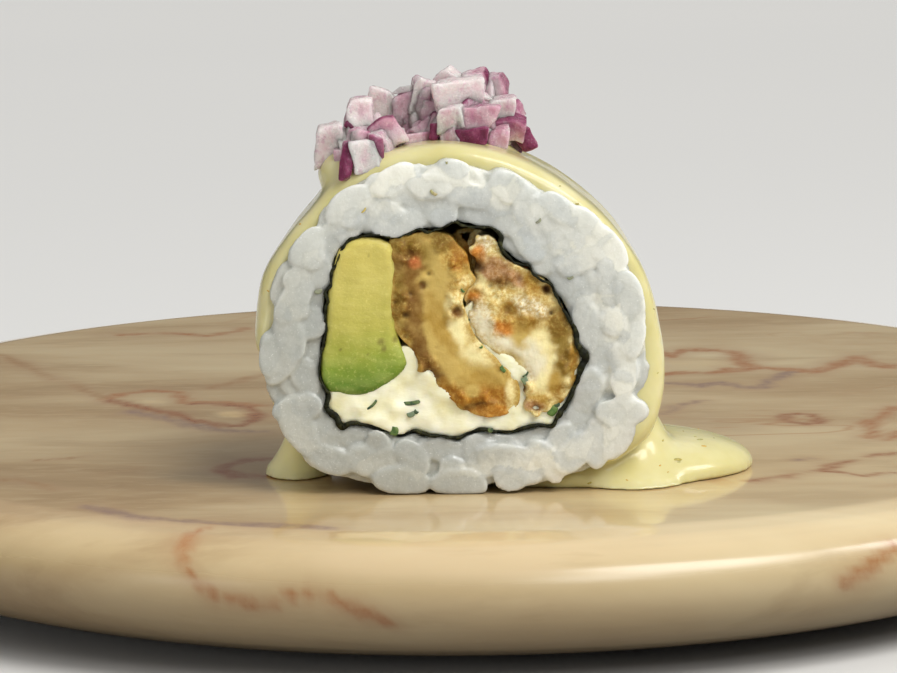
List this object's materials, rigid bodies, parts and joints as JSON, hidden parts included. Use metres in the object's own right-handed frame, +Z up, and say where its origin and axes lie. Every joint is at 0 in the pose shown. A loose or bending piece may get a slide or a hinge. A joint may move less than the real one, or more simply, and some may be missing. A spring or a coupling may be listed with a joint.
{
  "type": "uramaki roll",
  "caption": "Slice of inside-out sushi roll standing on a round marble board, with crisp fillet, avocado and cream cheese inside, pale sauce poured over and diced red onion on top.",
  "frame": {"origin": "centre of the board's flat base", "axes": "+Z up out of the board's top, -Y towards the roll's shown cut face, +X to the right of that face, on the side of the sauce puddle"},
  "size_m": [0.2, 0.2, 0.0694],
  "materials": {
    "board": "polished beige marble with fine red-brown veins",
    "rice": "moist, slightly translucent",
    "nori": "thin crinkled sheet, semi-gloss",
    "avocado": "smooth cut flesh, yellow to green",
    "cream_cheese": "soft, smeared, with chopped chives",
    "fillet": "fried crumb, dry and craggy",
    "sauce": "glossy, thick and smooth",
    "red_onion": "wet, translucent, purple skin sides"
  },
  "bodies": {
    "root": {"board": "board", "rice": "rice", "nori": "nori", "avocado": "avocado", "cream_cheese": "cream_cheese", "fillet_left": "fillet", "fillet_right": "fillet", "sauce": "sauce", "red_onion": "red_onion"}
  },
  "joints": []
}
